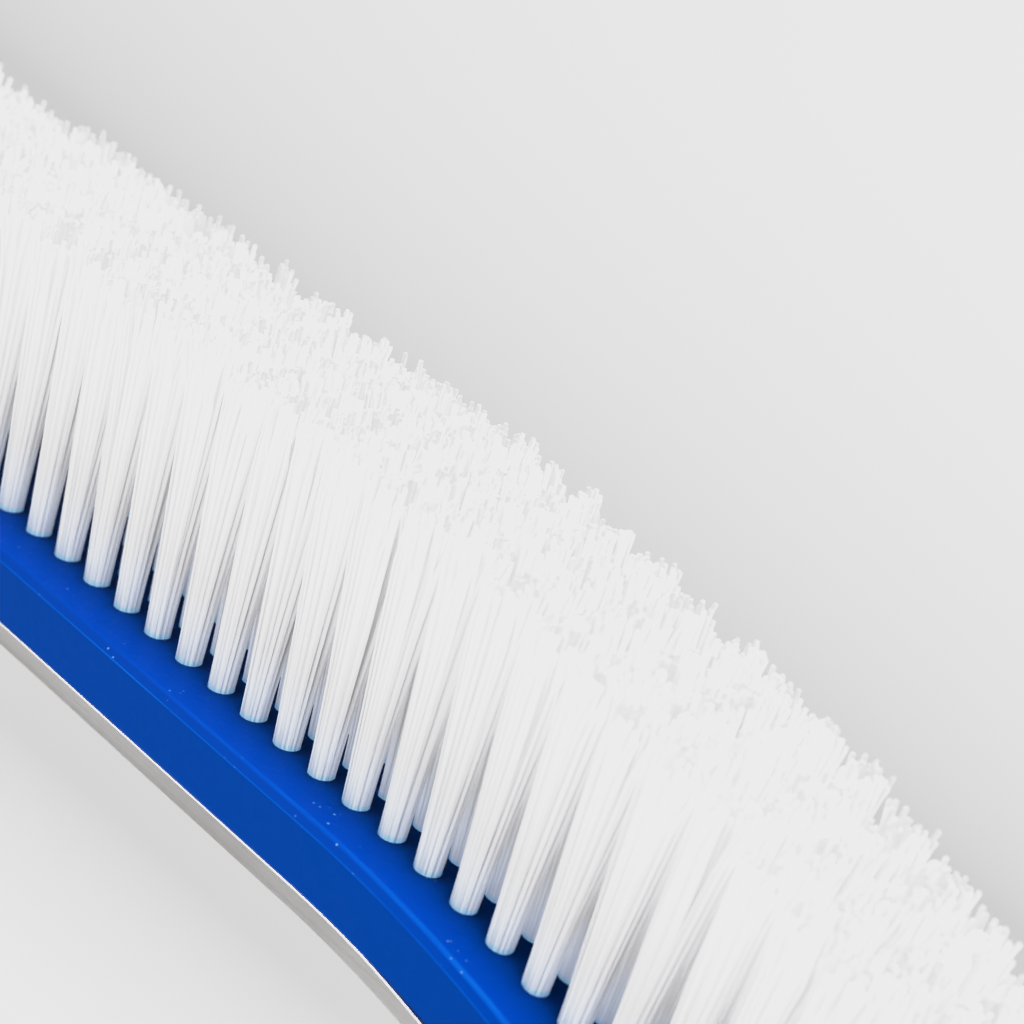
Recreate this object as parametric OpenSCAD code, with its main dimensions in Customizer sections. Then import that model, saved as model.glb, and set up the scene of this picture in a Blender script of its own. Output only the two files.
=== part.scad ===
// Curved wall brush head for a pool pole.
// +Z is the way the bristles point, X runs along the brush and Y across it.
// The origin is the middle of the bristle tips, where the brush meets the wall.
// All sizes are in millimetres.

/* [Node] */
// Which piece to draw

/* [Block] */
// Half of the straight middle stretch, measured along the brush
straight_half = 141.5; // [120:0.5:160]
// Radius of the bristle side of each curved end
bend_radius = 181; // [160:1:240]
// Angle each end turns away from the wall
bend_angle = 24.4; // [15:0.1:26]
// Radius of the block's corners, seen from the bristle side
corner_radius = 12; // [9:0.5:14]
// Width of the block
block_width = 40.4; // [38:0.1:44]
// Thickness of the block
block_thickness = 8.7; // [8:0.1:12]
// Bevel round the rim of the bristle side
rim_bevel = 1.0; // [0.5:0.1:1.5]

/* [Tufts] */
// Tufts on each side of the middle one, in one row
half_columns = 32; // [20:1:32]
// Distance between tufts along the brush
column_pitch = 7.0; // [6.8:0.1:7.0]
// Distance between rows
row_pitch = 5.6; // [5.5:0.1:5.8]
// Length of bristle that stands out of the block, on its straight stretch
tuft_length = 40.2; // [25:0.1:45]
// How much shorter the bristles are trimmed on the curved ends
end_trim = 2.4; // [0:0.1:4]
// Tuft radius where it leaves the block
tuft_base_radius = 1.85; // [1.6:0.05:1.85]
// Tuft radius at the tips
tuft_tip_radius = 2.7; // [2.0:0.05:2.7]
// Depth of each tuft hole
hole_depth = 6.0; // [5:0.1:6.5]
// Share of the bend that a tuft leans by, 1 being square to the surface
tuft_lean = 0.43; // [0.3:0.01:1]

/* [Back plate] */
// Thickness of the metal back plate
plate_thickness = 3.0; // [2:0.1:4]
// How far the plate's edge stands out past the block
plate_proud = 0.3; // [0:0.05:0.6]

/* [Handle] */
// Angle between the pole and a line square to the plate
handle_tilt = 45; // [40:1:50]
// Outside radius of the tube that goes into the pole
spigot_radius = 14.2; // [13.5:0.05:14.3]
// Wall of that tube
spigot_wall = 1.6; // [1.2:0.1:1.8]
// Distance from the plate to the tube's free end
spigot_end = 178; // [178:1:190]
// Radius of the lock buttons
button_radius = 3.15; // [2.8:0.05:3.3]

/* [Hidden] */
$fn = 64;

// Colours of the materials
blue_plastic = "#0049b0";
white_nylon = "#f0f0f2";
satin_aluminium = "#b9b6b2";
cast_aluminium = "#a9abad";
zinc_steel = "#c4c6c8";
grey_plastic = "#3a3d42";

// Air left between two pieces that are clamped face to face
seat_gap = 0.05;
// Extra length on every cutting shape, so that it leaves no skin
cut_over = 1;

// Heights, from the bristle tips down
face_z = -tuft_length;
plate_depth = block_thickness + seat_gap;
back_depth = plate_depth + plate_thickness;
saddle_z = face_z - back_depth - seat_gap;

// Edge bevels of the block's back and of the plate
block_back_bevel = 0.2;
plate_top_bevel = 0.15;
plate_back_bevel = 0.6;

// Curve of the ends
bend_length = bend_radius * bend_angle * PI / 180;
// Each flat tip is this much slimmer than the bend and reaches this far into it
tip_step = 0.05;
tip_root = 1;

// Tuft holes and the wire staples at their bottoms
rows = 5;
middle_row = 3;
hole_radius = 1.9;
staple_height = 1.6;
staple_width = 3.7;
staple_thickness = 0.4;
foot_gap = 0.1;

// The shorter trim of the curved ends sets in over this stretch, measured along the brush
trim_start = 125;
trim_run = 35;

// Plate screws, between tuft holes: places counted in tuft columns and rows
screw_columns = [9.5, 19.5, 27.5];
screw_row = 1.5;
screw_radius = 1.45;
pilot_radius = 1.5;
screw_hole_radius = 1.6;
screw_reach = 5.6;
screw_head_radius = 3.2;
screw_head_height = 2.1;
screw_flat_height = 1.1;
screw_crown = 0.9;
recess_length = 3.6;
recess_width = 0.8;
recess_depth = 1.2;
head_gap = 0.08;

// Saddle casting
flange_length = 96;
flange_width = 36;
flange_thickness = 4;
flange_corner = 8;
saddle_y = 10;
barrel_radius = 18;
barrel_start = 16;
barrel_end = 60;
collar_radius = 19.4;
collar_length = 6;
socket_start = 22;
socket_clearance = 0.05;

// Neck between the flange and the barrel: how wide it is, and where it starts and ends across the flange
neck_width = 28;
neck_from = -25;
neck_to = 7;
neck_front_height = 2;
neck_back_height = 5;
// Where the neck's underside meets the barrel, along the barrel's axis and how far inside its wall
neck_meets_u = 34;
neck_inset = 1;
neck_lift = 2;

// Struts beside the barrel, in the plane of its axis, as [distance from the axis, place along it]
strut_thickness = 6;
strut_foot = [35, 3.4];
strut_knee = [33, 8];
strut_top = [12, 52];

// Blind rivets
rivet_radius = 2.4;
rivet_hole_radius = 2.45;
rivet_head_radius = 4.6;
rivet_flat_height = 0.7;
rivet_crown_height = 0.9;
rivet_crown = 1.6;
mandrel_radius = 1.3;
mandrel_depth = 1.0;
rivet_tail_radius = 3.2;
rivet_tail_length = 1.9;
rivet_pocket_radius = 3.7;
rivet_pocket_depth = 2.2;
rivet_places = [[-42, -11], [-42, 11], [-24, -12.5], [24, -12.5], [42, -11], [42, 11]];
spigot_rivet_u = 48;

// The tube is this much thicker up to the step, and swaged down past it to enter the pole
swage_step = 0.3;
swage_u = 127;

// Spring clip, measured along the tube
pivot_u = 165;
button_u = 119;
wing_slot = [62.5, 95.5];
wing_slot_width = 9;
button_hole_radius = 4.1;
arm_inner = 8.6;
arm_outer = 11.6;
arm_width = 8;
arm_end_gap = 0.2;
wing_outside = [[18.6, 89], [22.8, 84.5], [24.2, 70], [22.8, 67]];
wing_inside = [[20.6, 67], [20.8, 80], [18, 84], [12.5, 86]];
arm_tail_u = 84;
wing_meets_u = 92;
button_root = 1;
knuckle_radius = 1.0;
knuckle_clearance = 0.05;
button_tip_x = 18.4;
button_tip_bevel = 0.9;

// Place on the curve at distance s from the middle: [x, z below the face, turn]
function on_curve(s) =
    let (
        over = abs(s) - straight_half,
        along = max(0, min(over, bend_length)),
        turn = along / bend_radius * 180 / PI,
        past = max(0, over - bend_length),
        side = sign(s)
    )
    [
        side * (min(abs(s), straight_half) + bend_radius * sin(turn) + past * cos(turn)),
        bend_radius * (cos(turn) - 1) - past * sin(turn),
        side * turn
    ];

// Length of the bristles of a tuft at distance s from the middle
function tuft_reach(s) = tuft_length - end_trim * max(0, min(1, (abs(s) - trim_start) / trim_run));

// Moves to the bristle face of the block at s along and y across, square to the surface
module square_to_face(s, y) {
    p = on_curve(s);
    translate([p[0], y, face_z + p[1]])
        rotate([0, p[2], 0])
            children();
}

// The same place, leaning as the tufts do
module tuft_place(column, row) {
    p = on_curve(column * column_pitch);
    translate([p[0], (row - middle_row) * row_pitch, face_z + p[1]])
        rotate([0, p[2] * tuft_lean, 0])
            children();
}

// Runs its children at every plate screw, with the screw pointing to the bristles
module at_plate_screws() {
    for (side = [-1, 1], column = screw_columns, y = [-screw_row, screw_row])
        square_to_face(side * column * column_pitch, y * row_pitch)
            translate([0, 0, -back_depth])
                children();
}

// Runs its children at every saddle rivet, on the saddle's seat against the plate
module at_saddle_rivets() {
    for (place = rivet_places)
        translate([place[0], place[1], saddle_z])
            children();
}

// Turns to the pole: Z runs out along the spigot, X stays along the brush
module along_spigot() {
    translate([0, saddle_y, saddle_z])
        rotate([180 - handle_tilt, 0, 0])
            children();
}

// Cross-section of a bar that follows the brush, as [across, height above the face]
function bar_section(half_width, top, bottom, top_bevel, bottom_bevel) = [
    [-half_width + bottom_bevel, -bottom], [half_width - bottom_bevel, -bottom],
    [half_width, -bottom + bottom_bevel], [half_width, -top - top_bevel],
    [half_width - top_bevel, -top], [-half_width + top_bevel, -top],
    [-half_width, -top - top_bevel], [-half_width, -bottom + bottom_bevel]
];

// One curved bar that follows the brush, between two depths below the face
module curved_bar(half_width, top, bottom, top_bevel, bottom_bevel, corner) {
    section = bar_section(half_width, top, bottom, top_bevel, bottom_bevel);
    translate([0, 0, face_z])
        rotate([90, 0, 90])
            linear_extrude(2 * straight_half, center = true)
                polygon(section);
    for (side = [0, 1])
        mirror([side, 0, 0]) {
            translate([straight_half, 0, face_z - bend_radius])
                rotate([90, 0, 0])
                    rotate_extrude(angle = bend_angle, start = 90 - bend_angle, $fn = 360)
                        polygon([for (p = section) [bend_radius + p[1], p[0]]]);
            square_to_face(straight_half + bend_length, 0)
                bar_tip(
                    half_width - tip_step, top + tip_step, bottom - tip_step,
                    top_bevel, bottom_bevel, corner
                );
        }
}

// The flat last stretch of a curved bar, with two rounded corners and a root inside the bend
module bar_tip(half_width, top, bottom, top_bevel, bottom_bevel, corner) {
    edge = [
        [0, -bottom], [corner - bottom_bevel, -bottom], [corner, -bottom + bottom_bevel],
        [corner, -top - top_bevel], [corner - top_bevel, -top], [0, -top]
    ];
    rotate([90, 0, 90])
        translate([0, 0, -tip_root])
            linear_extrude(tip_root)
                polygon(bar_section(half_width, top, bottom, top_bevel, bottom_bevel));
    rotate([90, 0, 0])
        linear_extrude(2 * (half_width - corner), center = true)
            polygon(edge);
    for (side = [0, 1])
        mirror([0, side, 0])
            translate([0, half_width - corner, 0])
                rotate_extrude(angle = 90)
                    polygon(edge);
}

// Moulded block with a blind hole for each tuft
module brush_block() {
    color(blue_plastic)
        difference() {
            curved_bar(block_width / 2, 0, block_thickness, rim_bevel, block_back_bevel, corner_radius);
            for (row = [1:rows], column = [-half_columns:half_columns])
                tuft_place(column, row)
                    translate([0, 0, -hole_depth])
                        cylinder(h = hole_depth + 2 * cut_over, r = hole_radius, $fn = 32);
            at_plate_screws()
                cylinder(h = plate_thickness + seat_gap + screw_reach + foot_gap, r = pilot_radius, $fn = 24);
            at_saddle_rivets()
                cylinder(h = plate_thickness + 2 * seat_gap + rivet_pocket_depth, r = rivet_pocket_radius);
        }
}

// One row of bristle tufts, each a cone that widens towards its tips
module tuft_row(row) {
    foot_depth = hole_depth - staple_height - 2 * foot_gap;
    flare = (tuft_tip_radius - tuft_base_radius) / tuft_length;
    color(white_nylon)
        for (column = [-half_columns:half_columns]) {
            reach = tuft_reach(column * column_pitch);
            tuft_place(column, row)
                translate([0, 0, -foot_depth])
                    cylinder(
                        h = foot_depth + reach,
                        r1 = tuft_base_radius - flare * foot_depth,
                        r2 = tuft_base_radius + flare * reach,
                        $fn = 24
                    );
        }
}

// The flat wire staples that hold one row of tufts
module staple_row(row) {
    color(zinc_steel)
        for (column = [-half_columns:half_columns])
            tuft_place(column, row)
                translate([-staple_thickness / 2, -staple_width / 2, foot_gap - hole_depth])
                    cube([staple_thickness, staple_width, staple_height]);
}

// Polished metal plate behind the block, bent to the same curve
module back_plate() {
    color(satin_aluminium)
        difference() {
            curved_bar(
                block_width / 2 + plate_proud, plate_depth, back_depth,
                plate_top_bevel, plate_back_bevel, corner_radius + plate_proud
            );
            at_plate_screws()
                translate([0, 0, -cut_over])
                    cylinder(h = plate_thickness + 2 * cut_over, r = screw_hole_radius, $fn = 24);
            at_saddle_rivets()
                translate([0, 0, -cut_over])
                    cylinder(h = plate_thickness + 2 * cut_over, r = rivet_hole_radius);
        }
}

// Pan-head screws with a cross recess, driven through the plate into the block
module plate_screws() {
    color(zinc_steel)
        at_plate_screws()
            difference() {
                union() {
                    translate([0, 0, -head_gap - screw_flat_height])
                        cylinder(h = screw_flat_height, r = screw_head_radius);
                    translate([0, 0, -head_gap - screw_head_height])
                        cylinder(
                            h = screw_head_height - screw_flat_height,
                            r1 = screw_head_radius - screw_crown,
                            r2 = screw_head_radius
                        );
                    translate([0, 0, -head_gap - screw_flat_height])
                        cylinder(
                            h = head_gap + screw_flat_height + plate_thickness + screw_reach,
                            r = screw_radius,
                            $fn = 24
                        );
                }
                for (turn = [0, 90])
                    rotate([0, 0, turn])
                        translate([-recess_length / 2, -recess_width / 2, -head_gap - screw_head_height - cut_over])
                            cube([recess_length, recess_width, recess_depth + cut_over]);
            }
}

// Blind rivet on Z = 0 with its head below: grip is the thickness it clamps
module blind_rivet(grip, tail_gap) {
    translate([0, 0, -rivet_flat_height])
        difference() {
            union() {
                cylinder(h = rivet_flat_height, r = rivet_head_radius);
                translate([0, 0, -rivet_crown_height])
                    cylinder(
                        h = rivet_crown_height,
                        r1 = rivet_head_radius - rivet_crown,
                        r2 = rivet_head_radius
                    );
                cylinder(h = rivet_flat_height + grip + tail_gap + rivet_tail_length, r = rivet_radius);
                translate([0, 0, rivet_flat_height + grip + tail_gap])
                    cylinder(h = rivet_tail_length, r = rivet_tail_radius);
            }
            translate([0, 0, -rivet_crown_height - cut_over])
                cylinder(h = mandrel_depth + cut_over, r = mandrel_radius);
        }
}

// Outline of the flange: a rectangle with rounded corners
module flange_outline() {
    inner_length = flange_length - 2 * flange_corner;
    inner_width = flange_width - 2 * flange_corner;
    square([flange_length, inner_width], center = true);
    square([inner_length, flange_width], center = true);
    for (x = [-1, 1], y = [-1, 1])
        translate([x * inner_length / 2, y * inner_width / 2])
            circle(r = flange_corner);
}

// Neck between the flange and the closed end of the barrel
module saddle_neck() {
    across = sin(handle_tilt);
    down = cos(handle_tilt);
    front = [
        -barrel_start * across + barrel_radius * down - neck_inset,
        -barrel_start * down - barrel_radius * across + neck_lift
    ];
    translate([0, saddle_y, saddle_z])
        rotate([90, 0, 90])
            linear_extrude(neck_width, center = true)
                polygon([
                    [neck_from, -cut_over], [neck_to, -cut_over],
                    [neck_to, -flange_thickness - neck_front_height], front,
                    [-neck_meets_u * across, -neck_meets_u * down],
                    [neck_from - cut_over, -flange_thickness - neck_back_height]
                ]);
}

// Struts on both sides of the barrel
module saddle_struts() {
    right = [strut_foot, strut_knee, strut_top];
    left = [for (i = [2:-1:0]) [-right[i][0], right[i][1]]];
    rotate([90, 0, 0])
        linear_extrude(strut_thickness, center = true)
            polygon(concat(right, left));
}

// Cast saddle: flange, neck, socket barrel and two side struts
module handle_saddle() {
    color(cast_aluminium)
        difference() {
            union() {
                translate([0, 0, saddle_z - flange_thickness])
                    linear_extrude(flange_thickness)
                        flange_outline();
                saddle_neck();
                along_spigot() {
                    translate([0, 0, barrel_start])
                        cylinder(h = barrel_end - barrel_start, r = barrel_radius);
                    translate([0, 0, barrel_end - collar_length])
                        cylinder(h = collar_length, r = collar_radius);
                    saddle_struts();
                }
            }
            // Nothing stands above the seat that lies on the plate
            translate([-flange_length, -flange_length, saddle_z])
                cube([2 * flange_length, 2 * flange_length, 2 * barrel_radius]);
            along_spigot() {
                translate([0, 0, socket_start])
                    cylinder(h = barrel_end, r = spigot_radius + swage_step + socket_clearance);
                translate([0, 0, spigot_rivet_u])
                    rotate([90, 0, 0])
                        cylinder(h = 3 * barrel_radius, r = rivet_hole_radius, center = true);
            }
            at_saddle_rivets()
                translate([0, 0, -flange_thickness - cut_over])
                    cylinder(h = flange_thickness + 2 * cut_over, r = rivet_hole_radius);
        }
}

// Rivets that hold the saddle to the plate; their tails sit in pockets in the block
module saddle_rivets() {
    color(satin_aluminium)
        at_saddle_rivets()
            translate([0, 0, -flange_thickness - seat_gap])
                blind_rivet(flange_thickness + seat_gap, plate_thickness + 2 * seat_gap + foot_gap);
}

// Tube that goes into the pole, with button holes and wing slots
module spigot_tube() {
    mid_slot = (wing_slot[0] + wing_slot[1]) / 2;
    slot_run = wing_slot[1] - wing_slot[0] - wing_slot_width;
    color(satin_aluminium)
        along_spigot()
            difference() {
                union() {
                    translate([0, 0, socket_start + foot_gap])
                        cylinder(h = swage_u - socket_start - foot_gap, r = spigot_radius + swage_step);
                    translate([0, 0, socket_start + foot_gap])
                        cylinder(h = spigot_end - socket_start - foot_gap, r = spigot_radius);
                }
                cylinder(h = spigot_end + cut_over, r = spigot_radius - spigot_wall);
                translate([0, 0, button_u])
                    rotate([0, 90, 0])
                        cylinder(h = 4 * spigot_radius, r = button_hole_radius, center = true);
                translate([0, 0, mid_slot])
                    cube([4 * spigot_radius, wing_slot_width, slot_run], center = true);
                for (end = [-0.5, 0.5])
                    translate([0, 0, mid_slot + end * slot_run])
                        rotate([0, 90, 0])
                            cylinder(h = 4 * spigot_radius, r = wing_slot_width / 2, center = true);
                translate([0, 0, spigot_rivet_u])
                    rotate([90, 0, 0])
                        cylinder(h = 4 * spigot_radius, r = rivet_hole_radius, center = true);
            }
}

// Two rivets through the barrel and the tube
module spigot_rivets() {
    inner_face = sqrt(pow(spigot_radius - spigot_wall, 2) - pow(rivet_tail_radius, 2)) - foot_gap;
    color(satin_aluminium)
        along_spigot()
            for (turn = [0, 180])
                translate([0, 0, spigot_rivet_u])
                    rotate([90, 0, turn])
                        translate([0, 0, -barrel_radius - seat_gap])
                            blind_rivet(barrel_radius + seat_gap - inner_face, 0);
}

// Bend at the clip's nose, with a groove at each end for the knuckle of an arm
module clip_nose() {
    pivot_x = (arm_inner + arm_outer) / 2;
    color(grey_plastic)
        along_spigot()
            translate([0, 0, pivot_u])
                difference() {
                    rotate([90, 0, 0])
                        translate([0, 0, -arm_width / 2])
                            rotate_extrude(angle = 180)
                                translate([arm_inner, 0])
                                    square([arm_outer - arm_inner, arm_width]);
                    for (side = [-1, 1])
                        translate([side * pivot_x, 0, 0])
                            rotate([90, 0, 0])
                                cylinder(
                                    h = 2 * arm_width,
                                    r = knuckle_radius + knuckle_clearance,
                                    center = true,
                                    $fn = 32
                                );
                }
}

// One arm of the clip: knuckle, bar, lock button and finger wing
module clip_arm() {
    pivot_x = (arm_inner + arm_outer) / 2;
    bar = [
        [arm_inner, arm_tail_u], [arm_inner, pivot_u - arm_end_gap],
        [arm_outer, pivot_u - arm_end_gap], [arm_outer, wing_meets_u]
    ];
    rotate([90, 0, 0])
        linear_extrude(arm_width, center = true)
            polygon(concat(bar, wing_outside, wing_inside));
    translate([pivot_x, 0, pivot_u])
        rotate([90, 0, 0])
            cylinder(h = arm_width, r = knuckle_radius, center = true, $fn = 32);
    translate([arm_inner + button_root, 0, button_u])
        rotate([0, 90, 0])
            cylinder(h = button_tip_x - button_tip_bevel - arm_inner - button_root, r = button_radius);
    translate([button_tip_x - button_tip_bevel, 0, button_u])
        rotate([0, 90, 0])
            cylinder(h = button_tip_bevel, r1 = button_radius, r2 = button_radius - button_tip_bevel);
}

// Arm on the +X side
module clip_arm_right() {
    color(grey_plastic)
        along_spigot()
            clip_arm();
}

// Arm on the -X side
module clip_arm_left() {
    color(grey_plastic)
        along_spigot()
            mirror([1, 0, 0])
                clip_arm();
}

brush_block();
tuft_row(1);  // tuft_row_1
tuft_row(2);  // tuft_row_2
tuft_row(3);  // tuft_row_3
tuft_row(4);  // tuft_row_4
tuft_row(5);  // tuft_row_5
staple_row(1);  // staple_row_1
staple_row(2);  // staple_row_2
staple_row(3);  // staple_row_3
staple_row(4);  // staple_row_4
staple_row(5);  // staple_row_5
back_plate();
plate_screws();
handle_saddle();
saddle_rivets();
spigot_tube();
spigot_rivets();
clip_nose();
clip_arm_right();
clip_arm_left();
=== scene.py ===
"""Looks of the curved pool wall brush: its block, bristles, back plate, handle and spring clip.

Lengths are in metres. X runs along the brush, Y across it and +Z is the way the bristles point.
"""

import math

import bmesh
import bpy
import numpy as np
from mathutils import Matrix, Vector


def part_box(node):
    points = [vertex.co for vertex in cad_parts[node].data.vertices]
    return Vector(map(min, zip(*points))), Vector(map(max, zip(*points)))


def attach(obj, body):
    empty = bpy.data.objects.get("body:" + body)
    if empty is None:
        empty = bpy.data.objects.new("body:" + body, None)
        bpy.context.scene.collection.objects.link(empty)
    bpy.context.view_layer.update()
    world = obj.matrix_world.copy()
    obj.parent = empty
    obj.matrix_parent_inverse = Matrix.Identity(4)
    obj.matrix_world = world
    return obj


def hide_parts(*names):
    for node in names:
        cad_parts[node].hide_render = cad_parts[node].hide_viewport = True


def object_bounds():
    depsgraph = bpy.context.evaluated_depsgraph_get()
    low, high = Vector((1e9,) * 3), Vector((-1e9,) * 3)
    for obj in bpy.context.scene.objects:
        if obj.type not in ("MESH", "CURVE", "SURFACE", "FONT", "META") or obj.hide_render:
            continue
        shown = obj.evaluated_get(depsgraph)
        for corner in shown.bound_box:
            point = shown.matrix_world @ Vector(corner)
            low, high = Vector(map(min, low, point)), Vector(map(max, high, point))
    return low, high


MM = 0.001

# Points of a made mesh are merged within the first distance, and edges under the second are dissolved
MERGE_WITHIN = 0.002 * MM
SLIVER_BELOW = 0.001 * MM

# Edges sharper than this are softened, and how much broad faces count in the shading
SHARP_ANGLE = math.radians(40)
BROAD_FACE_WEIGHT = 80

# Turn between neighbours that packs spots evenly in a disc
GOLDEN_TURN = math.pi * (3 - math.sqrt(5))

# The brush's curve and its grid of tufts. On the bends a tuft leans by a share of the angle of its face
STRAIGHT_HALF = 141.5 * MM
BEND_RADIUS = 181 * MM
BEND_ANGLE = math.radians(24.4)
BEND_LENGTH = BEND_RADIUS * BEND_ANGLE
BAR_END = STRAIGHT_HALF + BEND_LENGTH
COLUMN_PITCH = 7.0 * MM
ROW_PITCH = 5.6 * MM
HALF_COLUMNS = 32
ROWS = 5
TUFT_LEAN = 0.43

# Block and back plate
BLOCK_HALF_WIDTH = 20.2 * MM
BLOCK_THICKNESS = 8.7 * MM
BLOCK_CORNER = 12 * MM
RIM_BEVEL = 1.0 * MM
RIM_SOFT = 0.22 * MM
# The rim's lower and upper lines are painted highlights: the lower line's strength at the given places, and
# the upper line's as the rim's band grows
RIM_LOWER_HIGHLIGHT = (0.6, 1.5, 0.8)
RIM_LOWER_HIGHLIGHT_PLACES = (50 * MM, 105 * MM, 150 * MM)
RIM_UPPER_HIGHLIGHT = (0.05, 0.85)
RIM_BAND = 0.3 * MM
RIM_BAND_ENDS = 0.9 * MM
RIM_BAND_GROWS = (98 * MM, 175 * MM)
BLOCK_FOOT_IN = 0.01 * MM
BLOCK_FOOT_UP = 0.05 * MM
PLATE_HALF_WIDTH = 20.5 * MM
PLATE_CORNER = 12.3 * MM
PLATE_TOP = 8.75 * MM
PLATE_BACK = 11.75 * MM
PLATE_BACK_ROUND = 0.6 * MM
PLATE_GAP_START = 157 * MM
PLATE_GAP_RUN = 12 * MM
PLATE_GAP = 0.3 * MM
PLATE_CLOSE = 0.05 * MM
PLATE_BURR = 0.1 * MM
# Painted highlight on the plate's upper edge: where along the brush it comes in, and how bright it is there
PLATE_GLINT_PLACES = (60 * MM, 100 * MM)
PLATE_GLINT_STRENGTH = (0.3, 1)
PLATE_PARTS = (128, 12)
PLATE_RING_INSET = 6 * MM

# Angle between the spigot and the brush's back
SPIGOT_TILT = math.radians(45)

# Tuft holes, drawn as cells of the bristle face
HOLE_RADIUS = 1.8 * MM
HOLE_MOUTH = 1.92 * MM
HOLE_MOUTH_DEPTH = 0.12 * MM
HOLE_DEPTH_SHOWN = 2.4 * MM
CELL_PARTS = 6

# Bristles: rings and the places of the radii are shares of a filament's length, from root to tip
FILAMENTS = 56
FILAMENT_RADIUS_MM = (0.32, 0.34, 0.28, 0.33, 0.3)
FILAMENT_RADIUS_AT = (0.0, 0.6, 0.95, 0.985, 1.0)
FILAMENT_SIDES = 5
BUNDLE_RADIUS = 1.47 * MM
END_TRIM = 2.4 * MM
TRIM_START = 125 * MM
TRIM_RUN = 35 * MM
ROOT_DEPTH = 1.8 * MM
RINGS = (0.0, 0.14, 0.34, 0.6, 0.84, 0.95, 0.985, 1.0)

# How a tuft fans out, and how far its filaments and clumps of filaments stray, as standard deviations
SPOT_JITTER = 0.03 * MM
TIP_SPREAD = 1.5
TIP_SPREAD_VARIES = (0.85, 1.15)
TIP_SPREAD_POWER = 1.25
TIP_FRAY = 0.42 * MM
TIP_FRAY_START = 0.84
TUFT_SWAY = 0.3 * MM
CLUMPS = 6
CLUMP_DRIFT = 0.3 * MM
CLUMP_PULL_MIDDLE = 0.12
CLUMP_PULL_TIP = 0.7
CLUMP_PULL_POWER = 5
STRAND_BOW = 0.06 * MM
STRAND_WANDER = 0.26 * MM
WANDER_POWER = 2.5
STRAY_SHARE = 0.04
STRAY_TIMES = 2.6

# How uneven the lengths are
TUFT_SHORTER = 0.2 * MM
TUFT_UNEVEN = 0.35 * MM
CLUMP_UNEVEN = 0.6 * MM
STRAND_UNEVEN = 0.4 * MM
TALL_SHARE = 0.03
TALL_BY = (0.5 * MM, 1.8 * MM)

# Light of the nylon: strength of its own glow near the root and at the tip, how far a tuft shades as one
# bundle, the share of shadow light that it lets past, and the share of the rest that shines through
NYLON_GLOW = (0.3, 0.72)
NYLON_TUFT_SHADE = 0.95
NYLON_CLEAR_SHADOW = 0.77
NYLON_THROUGH = 0.4

# How near the tufts have to stand for painted shade on the ground between them
CROWDED_REACH = 8 * MM

# Colours. A pair is two shades that a pattern mixes
BLUE_SIDE = ((0.0, 0.037, 0.23, 1), (0.0, 0.049, 0.291, 1))
BLUE_TOP = ((0.0, 0.032, 0.239, 1), (0.0, 0.043, 0.308, 1))
# Painted highlight on the rim, and painted shade on its bevel
BLUE_RIM_HIGHLIGHT = (0.004, 0.12, 0.52, 1)
BLUE_BEVEL_SHADE = (0.0, 0.022, 0.13, 1)
BLUE_SPECK = (0.2, 0.5, 0.9, 1)
# Painted shade between the tufts, and a painted highlight in the mouth of each hole
BLUE_SHADED = (0.0, 0.009, 0.03, 1)
BLUE_MOUTH_HIGHLIGHT = (0.02, 0.2, 0.6, 1)
BLUE_SHEEN = (0.2, 0.5, 1.0, 1)
# The nylon is white throughout: the bluish, darker root and the foot are painted blue reflection and shade,
# and the grey shaft is painted shade
NYLON_ROOT_REFLECTED = ((0.71, 0.775, 0.9, 1), (0.75, 0.81, 0.92, 1))
NYLON_SHAFT_SHADED = (0.8, 0.8, 0.81, 1)
NYLON_TIP = ((0.93, 0.93, 0.935, 1), (0.98, 0.98, 0.98, 1))
NYLON_FOOT_REFLECTED = (0.5, 0.78, 0.98, 1)
PLATE_METAL = ((0.267, 0.262, 0.259, 1), (0.33, 0.324, 0.32, 1))
STEEL = ((0.46, 0.47, 0.48, 1), (0.62, 0.63, 0.64, 1))
CASTING = ((0.42, 0.425, 0.43, 1), (0.56, 0.565, 0.57, 1))
TUBE = ((0.52, 0.52, 0.52, 1), (0.62, 0.62, 0.615, 1))
RIVET = ((0.5, 0.5, 0.51, 1), (0.66, 0.66, 0.67, 1))
# Colour of worn metal edges, and of the plate's painted edge highlight
METAL_EDGE = (0.97, 0.96, 0.97, 1)
GREY = ((0.022, 0.025, 0.03, 1), (0.05, 0.055, 0.062, 1))
GREY_RUBBED = (0.16, 0.17, 0.18, 1)
SKY_COLOUR = (0.99, 0.99, 1.0, 1)

# Scale of each metal's pattern along X, Y and Z, and how far it is turned about X first. Lines run along the
# axis of least scale
SHEET_LINES = (12, 1400, 1400)
DRAWN_LINES = (1400, 1400, 20, SPIGOT_TILT)
STEEL_GRAIN = (500, 500, 500)
CASTING_GRAIN = (420, 420, 420)
RIVET_GRAIN = (600, 600, 600)

# Lamps as (name, place, size, power, tint), all aimed at the origin
LAMPS = (
    ("key", (-0.6, -0.55, 1.1), 0.9, 21, (1, 1, 1)),
    ("fill", (1.2, -0.3, 0.9), 1.2, 9, (1.0, 0.98, 0.96)),
    ("end", (0.42, -0.08, 0.2), 0.15, 0.6, (1, 1, 1)),
)

# Camera: aimed at a point of the bristles past the middle of the brush
CAMERA_AZIMUTH = 41.9
CAMERA_ELEVATION = 24.1
CAMERA_ROLL = 15.9
CAMERA_DISTANCE = 392 * MM
CAMERA_LENS_MM = 108
CAMERA_SENSOR_MM = 36
CAMERA_AIM_FROM_TUFT = (41.2 * MM, 18.75 * MM)
AIM_COLUMN = 15
FOCUS_BEFORE = 12 * MM
F_STOP = 28

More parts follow.
